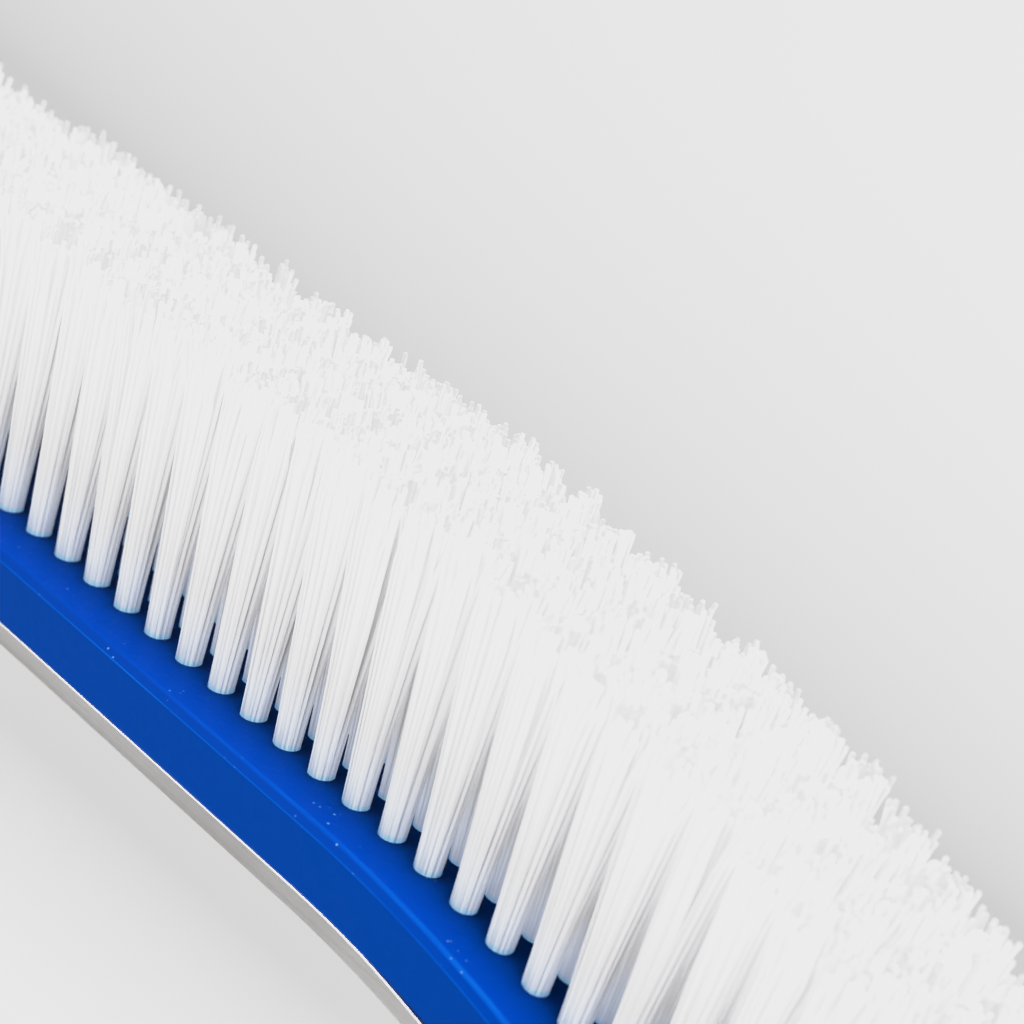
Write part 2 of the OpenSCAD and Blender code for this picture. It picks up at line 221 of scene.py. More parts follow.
# Backdrop: how light the floor is, and the soft shadow painted on it past the brush. The shade's places and
# reaches are shares of the picture, measured across a line of the given slope. Near and far are where it
# comes and goes
FLOOR_DARK = 0.352
FLOOR_DARK_BELOW = 0.43
FLOOR_LIGHT = 0.85
SHADE_SLOPE = -0.86
SHADE_TOP = 0.95
SHADE_TOP_REACH = 0.9
SHADE_CURVE = 0.8
SHADE_FOOT = 0.3
SHADE_FOOT_REACH = 0.27
SHADE_NEAR = (0.25, 0.45)
SHADE_FAR = (2.5, 1.5)
FLOOR_PLAIN = 0.62
FLOOR_MOTTLE = (0.99, 1.01)
FLOOR_HALF = 3.0

# Sky light at the horizon and overhead, and as the camera sees it
SKY_LOW = 0.45
SKY_HIGH = 1.15
SKY_SEEN = 0.8

# Shoulder of the camera's response, as (light in, light out)
RESPONSE = ((0.0, 0.0), (0.3, 0.3), (0.5, 0.53), (0.7, 0.71), (1.0, 0.8), (1.6, 0.84))

SEED = 7

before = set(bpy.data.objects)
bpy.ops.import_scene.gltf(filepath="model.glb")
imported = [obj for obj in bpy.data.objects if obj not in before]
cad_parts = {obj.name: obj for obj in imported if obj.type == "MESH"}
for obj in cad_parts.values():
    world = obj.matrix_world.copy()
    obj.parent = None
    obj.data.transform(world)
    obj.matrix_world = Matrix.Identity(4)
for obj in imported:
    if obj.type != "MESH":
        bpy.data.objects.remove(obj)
cad_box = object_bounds()

FACE_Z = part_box("brush_block")[1][2]
BRISTLE_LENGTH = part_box("tuft_row_3")[1][2] - FACE_Z
FLOOR_Z = cad_box[0][2] - 1 * MM


# Geometry helpers


def on_bar(s, y, depth):
    """Points at distance s along the brush, y across it and depth below the bristle face."""
    s, y, depth = np.broadcast_arrays(s, y, depth)
    away = np.abs(s)
    turn = np.clip(away - STRAIGHT_HALF, 0, BEND_LENGTH) / BEND_RADIUS
    past = np.maximum(0, away - BAR_END)
    x = np.minimum(away, STRAIGHT_HALF) + (BEND_RADIUS - depth) * np.sin(turn) + past * np.cos(turn)
    z = (BEND_RADIUS - depth) * np.cos(turn) - BEND_RADIUS - past * np.sin(turn)
    return np.stack([np.sign(s) * x, y, FACE_Z + z], axis=-1)


def turn_at(s):
    """Angle the face has turned by at distance s, positive towards +X."""
    return np.sign(s) * np.clip(np.abs(s) - STRAIGHT_HALF, 0, BEND_LENGTH) / BEND_RADIUS


def row_place(row):
    """Where a row of tufts stands across the brush."""
    return (row - ROWS // 2) * ROW_PITCH


def mesh_object(name, points, polygons, smooth=True, **attributes):
    """Object from lists of points and polygons. An attribute is a dict of point number to value."""
    mesh = bpy.data.meshes.new(name)
    mesh.from_pydata([tuple(p) for p in points], [], polygons)
    for key, marked in attributes.items():
        values = np.zeros(len(points), np.float32)
        values[list(marked)] = list(marked.values())
        mesh.attributes.new(key, "FLOAT", "POINT").data.foreach_set("value", values)
    bm = bmesh.new()
    bm.from_mesh(mesh)
    bmesh.ops.remove_doubles(bm, verts=bm.verts, dist=MERGE_WITHIN)
    bmesh.ops.dissolve_degenerate(bm, edges=bm.edges, dist=SLIVER_BELOW)
    bmesh.ops.recalc_face_normals(bm, faces=bm.faces)
    bm.to_mesh(mesh)
    bm.free()
    for polygon in mesh.polygons:
        polygon.use_smooth = smooth
    thing = bpy.data.objects.new(name, mesh)
    bpy.context.scene.collection.objects.link(thing)
    return thing


def ring_quads(first, second):
    """Quads between two closed rings of point numbers."""
    count = len(first)
    return [(first[i], first[(i + 1) % count], second[(i + 1) % count], second[i]) for i in range(count)]


def rectangle_ring(half_s, half_y, parts_s, parts_y):
    """Points round a rectangle, starting at its low corner, as (s, y) pairs."""
    s = np.linspace(-half_s, half_s, parts_s + 1)
    y = np.linspace(-half_y, half_y, parts_y + 1)
    low = [(v, -half_y) for v in s[:-1]]
    right = [(half_s, v) for v in y[:-1]]
    high = [(v, half_y) for v in s[:0:-1]]
    left = [(-half_s, v) for v in y[:0:-1]]
    return np.array(low + right + high + left)


class BarShell:
    """Collects the points and polygons of a bar that follows the brush."""

    def __init__(self, half_width, corner, ring):
        self.points = []
        self.polygons = []
        self.half_middle = half_width - corner
        spine = np.stack(
            [
                np.clip(ring[:, 0], -BAR_END, BAR_END),
                np.clip(ring[:, 1], -self.half_middle, self.half_middle),
            ],
            axis=1,
        )
        outward = ring - spine
        self.spine = spine
        self.outward = outward / np.linalg.norm(outward, axis=1, keepdims=True)

    def add(self, s, y, depth):
        """Adds a run of points and returns their numbers."""
        made = on_bar(s, y, depth).reshape(-1, 3)
        start = len(self.points)
        self.points.extend(made)
        return list(range(start, start + len(made)))

    def loop(self, reach, depth):
        """One closed loop of the outline, at reach from the spine."""
        flat = self.spine + self.outward * reach
        return self.add(flat[:, 0], flat[:, 1], depth)

    def sheet(self, s, y, depth):
        """A grid of quads inside the spine, to close one side of the bar."""
        s = np.clip(s, -BAR_END, BAR_END)
        y = np.clip(y, -self.half_middle, self.half_middle)
        grid_s, grid_y = np.meshgrid(s, y, indexing="ij")
        numbers = self.add(grid_s.ravel(), grid_y.ravel(), depth)
        wide = len(y)
        for i in range(len(s) - 1):
            for j in range(wide - 1):
                a = i * wide + j
                self.polygons.append((numbers[a], numbers[a + wide], numbers[a + wide + 1], numbers[a + 1]))


def cell_outline():
    """Points round one tuft's cell, in order, with the angle of each."""
    ring = rectangle_ring(COLUMN_PITCH / 2, ROW_PITCH / 2, CELL_PARTS, CELL_PARTS)
    return ring, np.arctan2(ring[:, 1], ring[:, 0])


def add_cell(shell, s, y, outline, angles):
    """One tuft's cell of the bristle face: flat ground, a softened mouth and a blind hole.

    Returns the point numbers of the hole's upper edge.
    """
    circle = np.stack([np.cos(angles), np.sin(angles)], axis=1)
    outer = shell.add(s + outline[:, 0], y + outline[:, 1], 0.0)
    mouth = shell.add(s + circle[:, 0] * HOLE_MOUTH, y + circle[:, 1] * HOLE_MOUTH, 0.0)
    neck = shell.add(s + circle[:, 0] * HOLE_RADIUS, y + circle[:, 1] * HOLE_RADIUS, HOLE_MOUTH_DEPTH)
    floor = shell.add(s + circle[:, 0] * HOLE_RADIUS, y + circle[:, 1] * HOLE_RADIUS, HOLE_DEPTH_SHOWN)
    shell.polygons += ring_quads(outer, mouth)
    shell.polygons += ring_quads(mouth, neck)
    shell.polygons += ring_quads(neck, floor)
    shell.polygons.append(tuple(floor))
    return neck


def block_profile(ring):
    """Rows of (reach, depth, highlight, slope) from the face's edge over the rim and round to the back.

    Highlight is how strongly each point of the ring takes the painted highlight, and slope is 1 on the rim's
    bevel, which takes painted shade.
    """
    reach = BLOCK_CORNER
    soft = RIM_SOFT
    away = np.abs(ring[:, 0])
    low, high = RIM_BAND_GROWS
    grown = np.clip((away - low) / (high - low), 0, 1)
    band = (RIM_BAND + (RIM_BAND_ENDS - RIM_BAND) * grown)[:, None]
    upper = np.interp(grown, (0, 1), RIM_UPPER_HIGHLIGHT)
    lower = np.interp(away, RIM_LOWER_HIGHLIGHT_PLACES, RIM_LOWER_HIGHLIGHT)
    none = np.zeros(len(ring))
    return [
        (reach - RIM_BEVEL - band, 0.0, none, 0),
        (reach - RIM_BEVEL - band / 2, 0.1 * soft, upper, 0),
        (reach - RIM_BEVEL + 0.1 * soft, 0.4 * soft, upper, 0.5),
        (reach - RIM_BEVEL + 0.9 * soft, 1.2 * soft, none, 1),
        (reach - 0.6 * soft, RIM_BEVEL - 0.6 * soft, none, 1),
        (reach - 0.15 * soft, RIM_BEVEL - 0.1 * soft, lower, 0),
        (reach, RIM_BEVEL + 0.4 * soft, none, 0),
        (reach, BLOCK_THICKNESS - BLOCK_FOOT_UP, none, 0),
        (reach - BLOCK_FOOT_IN, BLOCK_THICKNESS, none, 0),
        (reach / 2, BLOCK_THICKNESS, none, 0),
        (0.0, BLOCK_THICKNESS, none, 0),
    ]


def build_block():
    """The moulded block: perforated face, bevelled rim, side wall and back."""
    half_s = (HALF_COLUMNS + 0.5) * COLUMN_PITCH
    half_y = ROWS / 2 * ROW_PITCH
    parts_s = (2 * HALF_COLUMNS + 1) * CELL_PARTS
    parts_y = ROWS * CELL_PARTS
    ring = rectangle_ring(half_s, half_y, parts_s, parts_y)
    shell = BarShell(BLOCK_HALF_WIDTH, BLOCK_CORNER, ring)
    outline, angles = cell_outline()
    mouths = {}
    for column in range(-HALF_COLUMNS, HALF_COLUMNS + 1):
        for row in range(ROWS):
            neck = add_cell(shell, column * COLUMN_PITCH, row_place(row), outline, angles)
            mouths.update(dict.fromkeys(neck, 1))
    profile = block_profile(ring)
    loops = [shell.add(ring[:, 0], ring[:, 1], 0.0)]
    loops += [shell.loop(reach, depth) for reach, depth, _, _ in profile]
    marks = {}
    slopes = {}
    # Marks on the rim loops for the painted highlight, and for the bevel that takes painted shade
    for numbers, (_, _, rubbed, slope) in zip(loops[1:], profile):
        marks.update(zip(numbers, rubbed))
        slopes.update(dict.fromkeys(numbers, slope))
    for first, second in zip(loops, loops[1:]):
        shell.polygons += ring_quads(first, second)
    s = np.linspace(-half_s, half_s, parts_s + 1)
    y = np.linspace(-half_y, half_y, parts_y + 1)
    shell.sheet(s, y, BLOCK_THICKNESS)
    return mesh_object("block", shell.points, shell.polygons, rubbed=marks, slope=slopes, mouth=mouths)


def plate_sag(s):
    """How far the plate has left the block at s: it touches in the middle and opens along each bend."""
    return PLATE_GAP * np.clip((np.abs(s) - PLATE_GAP_START) / PLATE_GAP_RUN, 0, 1) - PLATE_CLOSE


def build_plate():
    """The metal back plate: a small burr along its upper edge that carries a painted highlight, and a
    softened lower one.
    """
    half_s = (HALF_COLUMNS + 0.5) * COLUMN_PITCH
    half_y = PLATE_HALF_WIDTH - PLATE_RING_INSET
    parts_s, parts_y = PLATE_PARTS
    ring = rectangle_ring(half_s, half_y, parts_s, parts_y)
    shell = BarShell(PLATE_HALF_WIDTH, PLATE_CORNER, ring)
    reach = PLATE_CORNER
    back = PLATE_BACK_ROUND
    sag = plate_sag(ring[:, 0])
    profile = [
        (0.0, PLATE_TOP, 1),
        (reach / 2, PLATE_TOP, 1),
        (reach - PLATE_BURR, PLATE_TOP, 1),
        (reach - 0.3 * PLATE_BURR, PLATE_TOP + 0.3 * PLATE_BURR, 1),
        (reach, PLATE_TOP + PLATE_BURR, 1),
        (reach, PLATE_TOP + 1.2 * PLATE_BURR, 1),
        (reach, PLATE_BACK - back, 0),
        (reach - 0.3 * back, PLATE_BACK - 0.3 * back, 0),
        (reach - back, PLATE_BACK, 0),
        (reach / 2, PLATE_BACK, 0),
        (0.0, PLATE_BACK, 0),
    ]
    loops = [shell.loop(out, depth + sag * share) for out, depth, share in profile]
    # Painted highlight along the upper edge, brighter away from the middle
    bright = np.interp(np.abs(ring[:, 0]), PLATE_GLINT_PLACES, PLATE_GLINT_STRENGTH)
    burr = {number: value for loop in loops[1:5] for number, value in zip(loop, bright)}
    for first, second in zip(loops, loops[1:]):
        shell.polygons += ring_quads(first, second)
    s = np.linspace(-half_s, half_s, parts_s + 1)
    y = np.linspace(-half_y, half_y, parts_y + 1)
    shell.sheet(s, y, np.repeat(PLATE_TOP + plate_sag(s), parts_y + 1))
    shell.sheet(s, y, PLATE_BACK)
    return mesh_object("plate", shell.points, shell.polygons, burr=burr)


def disc_spots(count, radius, rng):
    """Evenly packed spots in a disc, turned and jittered at random."""
    number = np.arange(count)
    reach = radius * np.sqrt((number + 0.5) / count)
    angle = number * GOLDEN_TURN + rng.uniform(0, 2 * math.pi)
    spots = np.stack([np.cos(angle), np.sin(angle)], axis=1) * reach[:, None]
    return spots + rng.normal(0, SPOT_JITTER, spots.shape)


def tuft_paths(rng):
    """Sideways offsets of every filament of one tuft at each ring, and the clump each filament is in."""
    spots = disc_spots(FILAMENTS, BUNDLE_RADIUS, rng)
    height = np.array(RINGS)[None, :, None]
    bulge = np.sin(math.pi * height)
    spread = TIP_SPREAD * rng.uniform(*TIP_SPREAD_VARIES)
    fan = spots[:, None, :] * (1 + spread * height**TIP_SPREAD_POWER)
    middles = disc_spots(CLUMPS, BUNDLE_RADIUS, rng)
    clump = np.argmin(np.linalg.norm(spots[:, None] - middles[None], axis=2), axis=1)
    drift = rng.normal(0, CLUMP_DRIFT, (CLUMPS, 2))[clump]
    pull = CLUMP_PULL_MIDDLE * bulge + CLUMP_PULL_TIP * height**CLUMP_PULL_POWER
    gather = (middles[clump] - spots)[:, None, :] * pull
    stray = np.where(rng.random(FILAMENTS) < STRAY_SHARE, STRAY_TIMES, 1.0)
    wander = rng.normal(0, STRAND_WANDER, (FILAMENTS, 2)) * stray[:, None]
    sway = rng.normal(0, TUFT_SWAY, 2)
    bow = rng.normal(0, STRAND_BOW, (FILAMENTS, 2))[:, None, :] * bulge
    path = fan + gather + bow + (drift + wander)[:, None, :] * height**WANDER_POWER + sway * height
    frayed = np.maximum(0, height - TIP_FRAY_START) / (1 - TIP_FRAY_START)
    return path + rng.normal(0, TIP_FRAY, (FILAMENTS, 1, 2)) * frayed, clump


def tuft_lengths(reach, clump, rng):
    """How far each filament of one tuft stands out: clumps and strands are uneven, and a few strands tall."""
    uneven = rng.normal(0, CLUMP_UNEVEN, CLUMPS)[clump] + rng.normal(0, STRAND_UNEVEN, FILAMENTS)
    length = reach + rng.normal(-TUFT_SHORTER, TUFT_UNEVEN) + uneven
    tall = rng.random(FILAMENTS) < TALL_SHARE
    return length + tall * rng.uniform(*TALL_BY, FILAMENTS)


def tuft_filaments(s, y, rng):
    """Points of one tuft and the way its surface faces there, both shaped (filament, ring, side, 3)."""
    lean = turn_at(s) * TUFT_LEAN
    axis = np.array([math.sin(lean), 0, math.cos(lean)])
    along = np.array([math.cos(lean), 0, -math.sin(lean)])
    across = np.array([0.0, 1.0, 0.0])
    base = on_bar(s, y, 0.0)
    trim = END_TRIM * np.clip((abs(s) - TRIM_START) / TRIM_RUN, 0, 1)
    path, clump = tuft_paths(rng)
    length = tuft_lengths(BRISTLE_LENGTH - trim, clump, rng)
    height = np.array(RINGS)[None, :] * (length + ROOT_DEPTH)[:, None] - ROOT_DEPTH
    centre = base + height[..., None] * axis + path[..., :1] * along + path[..., 1:] * across
    phase = rng.uniform(0, 2 * math.pi, FILAMENTS)[:, None]
    angle = phase + np.arange(FILAMENT_SIDES)[None, :] * 2 * math.pi / FILAMENT_SIDES
    round_it = np.cos(angle)[..., None] * along + np.sin(angle)[..., None] * across
    radius = np.interp(RINGS, FILAMENT_RADIUS_AT, FILAMENT_RADIUS_MM)[None, :, None, None] * MM
    points = centre[:, :, None, :] + radius * round_it[:, None, :, :]
    facing = path[..., :1] * along + path[..., 1:] * across
    facing = facing / BUNDLE_RADIUS + np.array(RINGS)[None, :, None] ** 2 * axis
    facing = np.repeat(facing[:, :, None, :], FILAMENT_SIDES, axis=2)
    return points, facing


def filament_polygons(filaments):
    """Point numbers of all side quads, tip caps and root caps of a run of filaments."""
    rings = len(RINGS)
    sides = FILAMENT_SIDES
    number = np.arange(filaments * rings * sides).reshape(filaments, rings, sides)
    low, high = number[:, :-1], number[:, 1:]
    quads = np.stack([low, np.roll(low, -1, 2), np.roll(high, -1, 2), high], axis=-1)
    return quads.reshape(-1, 4), number[:, -1], number[:, 0, ::-1]


def filament_mesh(name, points):
    """Mesh of a run of filaments from their points, with smooth sides and flat caps."""
    quads, tips, roots = filament_polygons(len(points))
    corners = np.concatenate([quads.ravel(), tips.ravel(), roots.ravel()])
    totals = np.concatenate([np.full(len(quads), 4), np.full(len(tips) + len(roots), FILAMENT_SIDES)])
    starts = np.concatenate([[0], np.cumsum(totals)[:-1]])
    mesh = bpy.data.meshes.new(name)
    mesh.vertices.add(points.size // 3)
    mesh.vertices.foreach_set("co", points.ravel())
    mesh.loops.add(len(corners))
    mesh.loops.foreach_set("vertex_index", corners.astype(np.int32))
    mesh.polygons.add(len(totals))
    mesh.polygons.foreach_set("loop_start", starts.astype(np.int32))
    mesh.polygons.foreach_set("loop_total", totals.astype(np.int32))
    mesh.polygons.foreach_set("use_smooth", np.arange(len(totals)) < len(quads))
    mesh.update()
    return mesh


def build_half_row(row, side, rng):
    """Half of one row of tufts as real filaments. Side is -1 or 1; the middle tuft is on side 1."""
    columns = range(0, HALF_COLUMNS + 1) if side > 0 else range(-HALF_COLUMNS, 0)
    tufts = [tuft_filaments(column * COLUMN_PITCH, row_place(row), rng) for column in columns]
    points = np.concatenate([tuft[0] for tuft in tufts])
    facing = np.concatenate([tuft[1] for tuft in tufts])
    name = f"bristles_row_{row + 1}_{'right' if side > 0 else 'left'}"
    mesh = filament_mesh(name, points)
    strand = np.repeat(rng.random(len(points)), len(RINGS) * FILAMENT_SIDES)
    height = np.tile(np.repeat(np.array(RINGS), FILAMENT_SIDES), len(points))
    mesh.attributes.new("strand", "FLOAT", "POINT").data.foreach_set("value", strand)
    mesh.attributes.new("height", "FLOAT", "POINT").data.foreach_set("value", height)
    mesh.attributes.new("facing", "FLOAT_VECTOR", "POINT").data.foreach_set("vector", facing.ravel())
    thing = bpy.data.objects.new(name, mesh)
    bpy.context.scene.collection.objects.link(thing)
    return thing


# Material helpers

# Sockets of the Mix node, as (first input, second input, output): several share one name
MIX_COLOURS = (6, 7, 2)
MIX_VECTORS = (4, 5, 1)


class Shader:
    """A node material with short ways to add nodes."""

    def __init__(self, name):
        self.material = bpy.data.materials.new(name)
        self.material.use_nodes = True
        self.tree = self.material.node_tree
        self.principled = self.tree.nodes["Principled BSDF"]
        self.output = self.tree.nodes["Material Output"]
        self.place = self.add("ShaderNodeTexCoord").outputs["Object"]

    def add(self, kind, **settings):
        node = self.tree.nodes.new(kind)
        for key, value in settings.items():
            setattr(node, key, value)
        return node

    def put(self, socket, value):
        """Links value to a socket, or stores it there if it is a plain number or colour."""
        if isinstance(value, bpy.types.NodeSocket):
            self.tree.links.new(value, socket)
        else:
            socket.default_value = value

    def set(self, **inputs):
        for key, value in inputs.items():
            self.put(self.principled.inputs[key.replace("_", " ")], value)

    def attribute(self, name):
        return self.add("ShaderNodeAttribute", attribute_name=name).outputs["Fac"]

    def stretched(self, x, y, z, tilt=0.0):
        """Object coordinates, turned about X by tilt and then scaled by x, y and z."""
        turned = self.add("ShaderNodeVectorRotate", rotation_type="X_AXIS")
        self.put(turned.inputs["Vector"], self.place)
        turned.inputs["Angle"].default_value = tilt
        return self.vector("MULTIPLY", turned.outputs["Vector"], (x, y, z))

    def noise(self, scale, detail=3.0, vector=None, roughness=0.5):
        node = self.add("ShaderNodeTexNoise")
        self.put(node.inputs["Vector"], vector or self.place)
        node.inputs["Scale"].default_value = scale
        node.inputs["Detail"].default_value = detail
        node.inputs["Roughness"].default_value = roughness
        return node.outputs["Fac"]

    def spots(self, scale):
        """Distance to the nearest of many scattered points."""
        node = self.add("ShaderNodeTexVoronoi")
        self.put(node.inputs["Vector"], self.place)
        node.inputs["Scale"].default_value = scale
        return node.outputs["Distance"]

    def remap(self, value, low, high, out_low=0.0, out_high=1.0):
        node = self.add("ShaderNodeMapRange")
        self.put(node.inputs["Value"], value)
        node.inputs["From Min"].default_value = low
        node.inputs["From Max"].default_value = high
        self.put(node.inputs["To Min"], out_low)
        self.put(node.inputs["To Max"], out_high)
        return node.outputs["Result"]

    def math(self, operation, a, b=0.0):
        node = self.add("ShaderNodeMath", operation=operation)
        self.put(node.inputs[0], a)
        self.put(node.inputs[1], b)
        return node.outputs[0]

    def times(self, a, b):
        return self.math("MULTIPLY", a, b)

    def vector(self, operation, a, b=(0, 0, 0)):
        """Vector maths: a number for a dot product, or else a vector."""
        node = self.add("ShaderNodeVectorMath", operation=operation)
        self.put(node.inputs[0], a)
        self.put(node.inputs[1], b)
        return node.outputs["Value" if operation == "DOT_PRODUCT" else "Vector"]

    def mix(self, factor, a, b, kind="RGBA"):
        """Mixes two colours, or two vectors if kind is VECTOR."""
        node = self.add("ShaderNodeMix", data_type=kind)
        first, second, result = MIX_COLOURS if kind == "RGBA" else MIX_VECTORS
        self.put(node.inputs["Factor"], factor)
        self.put(node.inputs[first], a)
        self.put(node.inputs[second], b)
        return node.outputs[result]

    def mix_surfaces(self, factor, a, b):
        node = self.add("ShaderNodeMixShader")
        self.put(node.inputs["Fac"], factor)
        self.put(node.inputs[1], a)
        self.put(node.inputs[2], b)
        return node.outputs["Shader"]

    def bump(self, height, strength, distance):
        """A normal roughened by height. Distance is how deep the relief is."""
        node = self.add("ShaderNodeBump")
        self.put(node.inputs["Height"], height)
        node.inputs["Strength"].default_value = strength
        node.inputs["Distance"].default_value = distance
        return node.outputs["Normal"]

    def worn_edges(self, radius):
        """High on sharp edges, from how far a rounded normal turns away from the true one."""
        soft = self.add("ShaderNodeBevel", samples=4)
        soft.inputs["Radius"].default_value = radius
        true = self.add("ShaderNodeNewGeometry").outputs["Normal"]
        return self.remap(self.vector("DOT_PRODUCT", soft.outputs["Normal"], true), 0.99, 0.8)

    def upward(self, low, high):
        """Nought where a surface stands steeper than low, and one where it is flatter than high."""
        normal = self.add("ShaderNodeSeparateXYZ")
        self.put(normal.inputs[0], self.add("ShaderNodeNewGeometry").outputs["Normal"])
        return self.remap(normal.outputs["Z"], low, high)

    def crowded(self, reach):
        """High where other surfaces stand close round a point, as between tufts."""
        open_sky = self.add("ShaderNodeAmbientOcclusion", samples=8)
        open_sky.inputs["Distance"].default_value = reach
        return self.remap(open_sky.outputs["AO"], 1.0, 0.38)


def blue_rim(shader, colour):
    """Painted highlight lines along the rim, uneven along their length, and painted shade on the bevel
    between them.
    """
    uneven = shader.remap(shader.noise(1, 4, shader.stretched(60, 900, 900)), 0.35, 0.6, 0.5, 1.0)
    # Painted highlight on the rim's marked lines
    rubbed = shader.times(shader.attribute("rubbed"), uneven)
    colour = shader.mix(shader.times(rubbed, 0.6), colour, BLUE_RIM_HIGHLIGHT)
    # Painted shade on the bevel
    return shader.mix(shader.times(shader.attribute("slope"), 0.35), colour, BLUE_BEVEL_SHADE)


def blue_dust(shader, colour, upward):
    """Small pale specks, in loose patches on what faces up."""
    patches = shader.times(shader.remap(shader.noise(130, 2), 0.5, 0.6), upward)
    specks = shader.times(shader.remap(shader.spots(700), 0.14, 0.07), patches)
    return shader.mix(shader.times(specks, 0.5), colour, BLUE_SPECK)


def blue_round_tufts(shader, colour, upward):
    """Painted shade on the ground between the tufts, and a painted highlight ring in the mouth of each hole.
    """
    mouth = shader.attribute("mouth")
    # Painted shade where the tufts crowd, kept off the hole mouths
    shaded = shader.times(shader.crowded(CROWDED_REACH), shader.math("SUBTRACT", upward, mouth))
    colour = shader.mix(shaded, colour, BLUE_SHADED)
    # Painted highlight in the hole mouths
    return shader.mix(shader.times(mouth, 0.3), colour, BLUE_MOUTH_HIGHLIGHT)


def blue_plastic():
    """Royal blue moulding with faint flow marks.

    Its gloss is all but off, because a usual level turns the blue much paler than it is in the photograph.
    """
    shader = Shader("blue_plastic")
    flow = shader.noise(18, 4, shader.stretched(0.4, 1.6, 1.6))
    upward = shader.upward(0.3, 0.8)
    colour = shader.mix(upward, shader.mix(flow, *BLUE_SIDE), shader.mix(flow, *BLUE_TOP))
    colour = blue_rim(shader, colour)
    colour = blue_dust(shader, colour, upward)
    colour = blue_round_tufts(shader, colour, upward)
    relief = shader.math("ADD", shader.noise(900, 2), shader.times(flow, 2.0))
    shader.set(Base_Color=colour, Roughness=shader.remap(shader.noise(420, 4), 0.3, 0.7, 0.2, 0.32))
    shader.set(Specular_IOR_Level=0.01, Specular_Tint=BLUE_SHEEN)
    shader.set(Normal=shader.bump(relief, 0.12, 0.05 * MM))
    return shader.material


def nylon_colour(shader, height):
    """Bluish root and grey shaft, painted blue reflection and painted shade, and a white tip; each strand a
    little different.
    """
    strand = shader.attribute("strand")
    root = shader.mix(strand, *NYLON_ROOT_REFLECTED)
    tip = shader.mix(strand, *NYLON_TIP)
    # Painted shade along the shaft, white towards the tip
    colour = shader.mix(shader.remap(height, 0.0, 0.3), root, NYLON_SHAFT_SHADED)
    colour = shader.mix(shader.remap(height, 0.3, 0.9), colour, tip)
    # Painted blue reflection at the foot
    return shader.mix(shader.remap(height, 0.06, 0.046), colour, NYLON_FOOT_REFLECTED)


def tuft_normal(shader, bumped):
    """A filament's own normal turned most of the way to its tuft's, so that a tuft shades as one bundle."""
    facing = shader.add("ShaderNodeAttribute", attribute_name="facing").outputs["Vector"]
    turned = shader.add("ShaderNodeVectorTransform", vector_type="NORMAL")
    turned.convert_from = "OBJECT"
    turned.convert_to = "WORLD"
    shader.put(turned.inputs["Vector"], facing)
    blend = shader.mix(NYLON_TUFT_SHADE, bumped, turned.outputs["Vector"], "VECTOR")
    return shader.vector("NORMALIZE", blend)


def white_nylon():
    """White filament with a soft sheen that lets much light through.

    It also glows, most at its tip, to match the overexposed photograph.
    """
    shader = Shader("white_nylon")
    height = shader.attribute("height")
    colour = nylon_colour(shader, height)
    fine = shader.noise(1, 4, shader.stretched(900, 900, 90))
    glow = shader.remap(height, 0.3, 1.0, *NYLON_GLOW)
    shader.set(Base_Color=colour, Roughness=shader.remap(fine, 0.3, 0.7, 0.34, 0.55))
    shader.set(Specular_IOR_Level=0.3, Emission_Color=colour, Emission_Strength=glow)
    shader.set(Normal=tuft_normal(shader, shader.bump(fine, 0.25, 0.04 * MM)))
    through = shader.add("ShaderNodeBsdfTranslucent")
    shader.put(through.inputs["Color"], colour)
    body = shader.principled.outputs["BSDF"]
    solid = shader.mix_surfaces(NYLON_THROUGH, body, through.outputs["BSDF"])
    clear = shader.add("ShaderNodeBsdfTransparent").outputs["BSDF"]
    shadow = shader.add("ShaderNodeLightPath").outputs["Is Shadow Ray"]
    lit = shader.mix_surfaces(shader.times(shadow, NYLON_CLEAR_SHADOW), solid, clear)
    shader.put(shader.output.inputs["Surface"], lit)
    return shader.material


def metal(name, dark, light, rough, stretch, grain=0.2):
    """Metal with fine lines or grain, small stains, edges brightened by wear, and a painted highlight where
    marked, as on the plate's upper edge. Rough is its range of roughness.
    """
    shader = Shader(name)
    lines = shader.noise(1, 5, shader.stretched(*stretch), 0.65)
    stains = shader.noise(35, 5)
    stained = tuple(0.75 * channel for channel in dark[:3]) + (1,)
    colour = shader.mix(shader.remap(lines, 0.3, 0.7), dark, light)
    colour = shader.mix(shader.remap(stains, 0.45, 0.75, 0, 0.35), colour, stained)
    edges = shader.worn_edges(0.3 * MM)
    # Edges brightened by wear, and the painted highlight where marked
    wear_and_glint = shader.math("MAXIMUM", shader.times(edges, 0.45), shader.attribute("burr"))
    colour = shader.mix(wear_and_glint, colour, METAL_EDGE)
    dullness = shader.math("ADD", lines, shader.times(stains, 0.5))
    shader.set(Base_Color=colour, Metallic=1.0, Roughness=shader.remap(dullness, 0.5, 1.0, *rough))
    shader.set(Normal=shader.bump(lines, grain, 0.03 * MM))
    return shader.material


def grey_plastic():
    """Dark grey moulding with a fine grain and rubbed edges."""
    shader = Shader("grey_plastic")
    cloud = shader.noise(60, 4)
    patchy = shader.remap(shader.noise(300, 4), 0.35, 0.65)
    rubbed = shader.times(shader.worn_edges(0.35 * MM), patchy)
    colour = shader.mix(cloud, *GREY)
    colour = shader.mix(shader.times(rubbed, 0.6), colour, GREY_RUBBED)
    shader.set(Base_Color=colour, Roughness=shader.remap(cloud, 0.3, 0.7, 0.38, 0.55))
    shader.set(Normal=shader.bump(shader.noise(2600, 2), 0.25, 0.03 * MM))
    return shader.material


